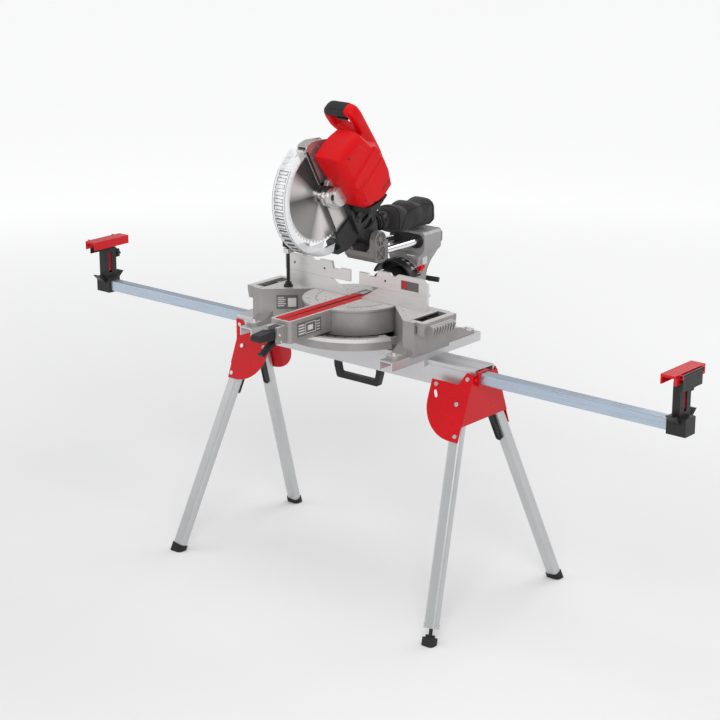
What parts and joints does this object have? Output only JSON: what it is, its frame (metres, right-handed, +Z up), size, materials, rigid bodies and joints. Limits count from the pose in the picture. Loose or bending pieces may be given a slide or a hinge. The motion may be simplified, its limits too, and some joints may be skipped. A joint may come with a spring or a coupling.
{
  "type": "sliding mitre saw on folding stand",
  "caption": "Sliding compound mitre saw with a raised head, clamped to a folding stand with splayed legs, extension arms and work supports.",
  "frame": {"origin": "middle of the footprint, on the floor", "axes": "+X along the stand's beam to the operator's right, +Y away from the operator, +Z up"},
  "size_m": [2.554, 0.8746, 1.6212],
  "materials": {
    "red_sheet": "gloss red paint",
    "red_plastic": "satin red moulding",
    "beam_silver": "satin anodised",
    "leg_silver": "satin anodised",
    "zinc": "zinc plated, bluish",
    "bolt_steel": "zinc plated",
    "black_plastic": "matte moulded",
    "rubber": "matte",
    "grey_casting": "painted warm grey casting",
    "silver_casting": "bare satin casting",
    "turntable_silver": "machined top, cast sides",
    "fence_silver": "machined",
    "chrome": "polished",
    "black_casting": "black painted casting",
    "dark_steel": "black",
    "blade_steel": "ground, radial sheen",
    "clear_guard": "clear polycarbonate",
    "bag_cloth": "woven"
  },
  "bodies": {
    "stand": {"main_beam": "beam_silver", "carry_handle": "black_plastic", "stand_bolts": "bolt_steel", "saw_mount_rails": "beam_silver", "left_leg_bracket": "red_sheet", "right_leg_bracket": "red_sheet", "base_casting": "turntable_silver", "lower_fence": "fence_silver"},
    "front_left_leg": {"front_left_leg": "leg_silver", "front_left_foot": "rubber"},
    "front_left_leg_lever": {"front_left_leg_lever": "black_plastic"},
    "rear_left_leg": {"rear_left_leg": "leg_silver", "rear_left_foot": "rubber"},
    "rear_left_leg_lever": {"rear_left_leg_lever": "black_plastic"},
    "left_arm": {"left_extension_arm": "zinc", "left_support_post": "black_plastic"},
    "left_arm_lock": {"left_arm_lock": "red_plastic"},
    "left_support_head": {"left_support_head": "red_sheet"},
    "left_support_knob": {"left_support_knob": "black_plastic"},
    "left_stop_flap": {"left_stop_flap": "dark_steel"},
    "left_table_extension": {"left_table_extension": "silver_casting"},
    "left_sliding_fence": {"left_sliding_fence": "fence_silver"},
    "front_right_leg": {"front_right_leg": "leg_silver"},
    "front_right_leg_lever": {"front_right_leg_lever": "black_plastic"},
    "levelling_foot": {"levelling_foot": "rubber"},
    "rear_right_leg": {"rear_right_leg": "leg_silver", "rear_right_foot": "rubber"},
    "rear_right_leg_lever": {"rear_right_leg_lever": "black_plastic"},
    "right_arm": {"right_extension_arm": "zinc", "right_support_post": "black_plastic"},
    "right_arm_lock": {"right_arm_lock": "red_plastic"},
    "right_support_head": {"right_support_head": "red_sheet"},
    "right_support_knob": {"right_support_knob": "black_plastic"},
    "right_stop_flap": {"right_stop_flap": "dark_steel"},
    "right_table_extension": {"right_table_extension": "silver_casting"},
    "right_sliding_fence": {"right_sliding_fence": "fence_silver"},
    "clamp_post": {"clamp_post": "bolt_steel"},
    "clamp_screw": {"clamp_screw": "dark_steel"},
    "turntable": {"turntable": "turntable_silver", "kerf_plate": "red_plastic", "bevel_scale": "black_casting"},
    "mitre_lock_grip": {"mitre_lock_grip": "black_plastic"},
    "detent_lever": {"detent_lever": "black_plastic"},
    "tower": {"bevel_tower": "grey_casting"},
    "bevel_lock_lever": {"bevel_lock_lever": "black_plastic"},
    "carriage": {"slide_rails": "chrome", "carriage": "grey_casting", "dust_chute": "black_plastic", "dust_bag": "bag_cloth"},
    "head": {"saw_arm": "black_casting", "gear_case": "silver_casting", "upper_guard": "silver_casting", "motor_housing": "red_plastic", "handle_grip": "rubber", "motor": "bolt_steel", "dust_shroud": "black_plastic"},
    "lower_guard": {"lower_guard": "clear_guard"},
    "blade": {"blade": "blade_steel", "arbor": "bolt_steel"},
    "trigger": {"trigger": "black_plastic"}
  },
  "joints": [
    {"name": "front_left_leg_fold", "type": "hinge", "parent": "stand", "child": "front_left_leg", "pos_m": [-0.482, 0.0322, 0.7], "axis": [0, -0.9336, 0.3584], "range_deg": [0, 97]},
    {"name": "front_left_leg_lever_press", "type": "hinge", "parent": "front_left_leg", "child": "front_left_leg_lever", "pos_m": [-0.48334, 0.00771, 0.63619], "axis": [0, -0.9336, 0.3584], "range_deg": [0, 10], "stiffness_Nm_per_rad": 0.5, "springref_deg": -8.59},
    {"name": "rear_left_leg_fold", "type": "hinge", "parent": "stand", "child": "rear_left_leg", "pos_m": [-0.482, 0.1082, 0.7], "axis": [0, -0.9336, -0.3584], "range_deg": [0, 97]},
    {"name": "rear_left_leg_lever_press", "type": "hinge", "parent": "rear_left_leg", "child": "rear_left_leg_lever", "pos_m": [-0.48334, 0.1327, 0.63619], "axis": [0, -0.9336, -0.3584], "range_deg": [0, 10], "stiffness_Nm_per_rad": 0.5, "springref_deg": -8.59},
    {"name": "left_arm_slide", "type": "slide", "parent": "stand", "child": "left_arm", "axis": [1, 0, 0], "range_m": [0, 0.672]},
    {"name": "left_arm_lock_turn", "type": "hinge", "parent": "stand", "child": "left_arm_lock", "pos_m": [-0.5245, 0.0582, 0.787], "axis": [0, 1, 0], "continuous": true},
    {"name": "left_support_height", "type": "slide", "parent": "left_arm", "child": "left_support_head", "axis": [0, 0, 1], "range_m": [-0.013, 0.04]},
    {"name": "left_support_knob_turn", "type": "hinge", "parent": "left_arm", "child": "left_support_knob", "pos_m": [-1.24, 0.1322, 0.898], "axis": [0, 1, 0], "continuous": true},
    {"name": "left_stop_flip", "type": "hinge", "parent": "left_support_head", "child": "left_stop_flap", "pos_m": [-1.271, 0.0922, 0.953], "axis": [0, 1, 0], "range_deg": [0, 180]},
    {"name": "left_table_extension_slide", "type": "slide", "parent": "stand", "child": "left_table_extension", "axis": [-1, 0, 0], "range_m": [0, 0.08]},
    {"name": "left_fence_slide", "type": "slide", "parent": "stand", "child": "left_sliding_fence", "axis": [-1, 0, 0], "range_m": [0, 0.21]},
    {"name": "front_right_leg_fold", "type": "hinge", "parent": "stand", "child": "front_right_leg", "pos_m": [0.482, -0.0078, 0.7], "axis": [0, 0.9336, -0.3584], "range_deg": [0, 97]},
    {"name": "front_right_leg_lever_press", "type": "hinge", "parent": "front_right_leg", "child": "front_right_leg_lever", "pos_m": [0.48334, -0.03229, 0.63619], "axis": [0, 0.9336, -0.3584], "range_deg": [0, 10], "stiffness_Nm_per_rad": 0.5, "springref_deg": -8.59},
    {"name": "levelling_foot_screw", "type": "slide", "parent": "front_right_leg", "child": "levelling_foot", "axis": [-0.1219, 0.3557, 0.9266], "range_m": [-0.015, 0]},
    {"name": "rear_right_leg_fold", "type": "hinge", "parent": "stand", "child": "rear_right_leg", "pos_m": [0.482, 0.1482, 0.7], "axis": [0, 0.9336, 0.3584], "range_deg": [0, 97]},
    {"name": "rear_right_leg_lever_press", "type": "hinge", "parent": "rear_right_leg", "child": "rear_right_leg_lever", "pos_m": [0.48334, 0.1727, 0.63619], "axis": [0, 0.9336, 0.3584], "range_deg": [0, 10], "stiffness_Nm_per_rad": 0.5, "springref_deg": -8.59},
    {"name": "right_arm_slide", "type": "slide", "parent": "stand", "child": "right_arm", "axis": [-1, 0, 0], "range_m": [0, 0.672]},
    {"name": "right_arm_lock_turn", "type": "hinge", "parent": "stand", "child": "right_arm_lock", "pos_m": [0.5245, 0.0142, 0.787], "axis": [0, 1, 0], "continuous": true},
    {"name": "right_support_height", "type": "slide", "parent": "right_arm", "child": "right_support_head", "axis": [0, 0, 1], "range_m": [-0.013, 0.04]},
    {"name": "right_support_knob_turn", "type": "hinge", "parent": "right_arm", "child": "right_support_knob", "pos_m": [1.24, 0.0882, 0.898], "axis": [0, 1, 0], "continuous": true},
    {"name": "right_stop_flip", "type": "hinge", "parent": "right_support_head", "child": "right_stop_flap", "pos_m": [1.271, 0.0482, 0.953], "axis": [0, -1, 0], "range_deg": [0, 180]},
    {"name": "right_table_extension_slide", "type": "slide", "parent": "stand", "child": "right_table_extension", "axis": [1, 0, 0], "range_m": [0, 0.08]},
    {"name": "right_fence_slide", "type": "slide", "parent": "stand", "child": "right_sliding_fence", "axis": [-1, 0, 0], "range_m": [-0.21, 0]},
    {"name": "clamp_swing", "type": "hinge", "parent": "stand", "child": "clamp_post", "pos_m": [-0.258, 0.0912, 0.96], "axis": [0, 0, -1], "range_deg": [0, 180]},
    {"name": "clamp_screw_feed", "type": "slide", "parent": "clamp_post", "child": "clamp_screw", "axis": [0, 0, 1], "range_m": [0, 0.06]},
    {"name": "mitre_turn", "type": "hinge", "parent": "stand", "child": "turntable", "pos_m": [0, 0.0432, 0.92], "axis": [0, 0, -1], "range_deg": [-50, 50]},
    {"name": "mitre_lock_lift", "type": "hinge", "parent": "turntable", "child": "mitre_lock_grip", "pos_m": [0, -0.3478, 0.922], "axis": [-1, 0, 0], "range_deg": [0, 15]},
    {"name": "detent_press", "type": "hinge", "parent": "turntable", "child": "detent_lever", "pos_m": [0, -0.3418, 0.898], "axis": [1, 0, 0], "range_deg": [0, 12], "stiffness_Nm_per_rad": 0.5, "springref_deg": -8.59},
    {"name": "bevel_tilt", "type": "hinge", "parent": "turntable", "child": "tower", "pos_m": [0, 0.2732, 0.96], "axis": [0, -1, 0], "range_deg": [-48, 48]},
    {"name": "bevel_lock_turn", "type": "hinge", "parent": "tower", "child": "bevel_lock_lever", "pos_m": [0, 0.3732, 0.96], "axis": [0, 1, 0], "range_deg": [0, 40]},
    {"name": "head_slide", "type": "slide", "parent": "tower", "child": "carriage", "axis": [0, -1, 0], "range_m": [-0.165, 0]},
    {"name": "chop", "type": "hinge", "parent": "carriage", "child": "head", "pos_m": [0, 0.0932, 1.155], "axis": [1, 0, 0], "range_deg": [0, 52.5], "stiffness_Nm_per_rad": 14, "springref_deg": -97.4},
    {"name": "guard_swing", "type": "hinge", "parent": "head", "child": "lower_guard", "pos_m": [0, -0.12993, 1.32916], "axis": [-1, 0, 0], "range_deg": [0, 126]},
    {"name": "blade_spin", "type": "hinge", "parent": "head", "child": "blade", "pos_m": [0, -0.12993, 1.32916], "axis": [1, 0, 0], "continuous": true},
    {"name": "trigger_pull", "type": "slide", "parent": "head", "child": "trigger", "axis": [0, -0.6088, 0.7934], "range_m": [0, 0.005], "stiffness_N_per_m": 300, "springref_m": -0.004}
  ],
  "couplings": [
    {"joint": "guard_swing", "follows": "chop", "ratio": 2.381}
  ]
}
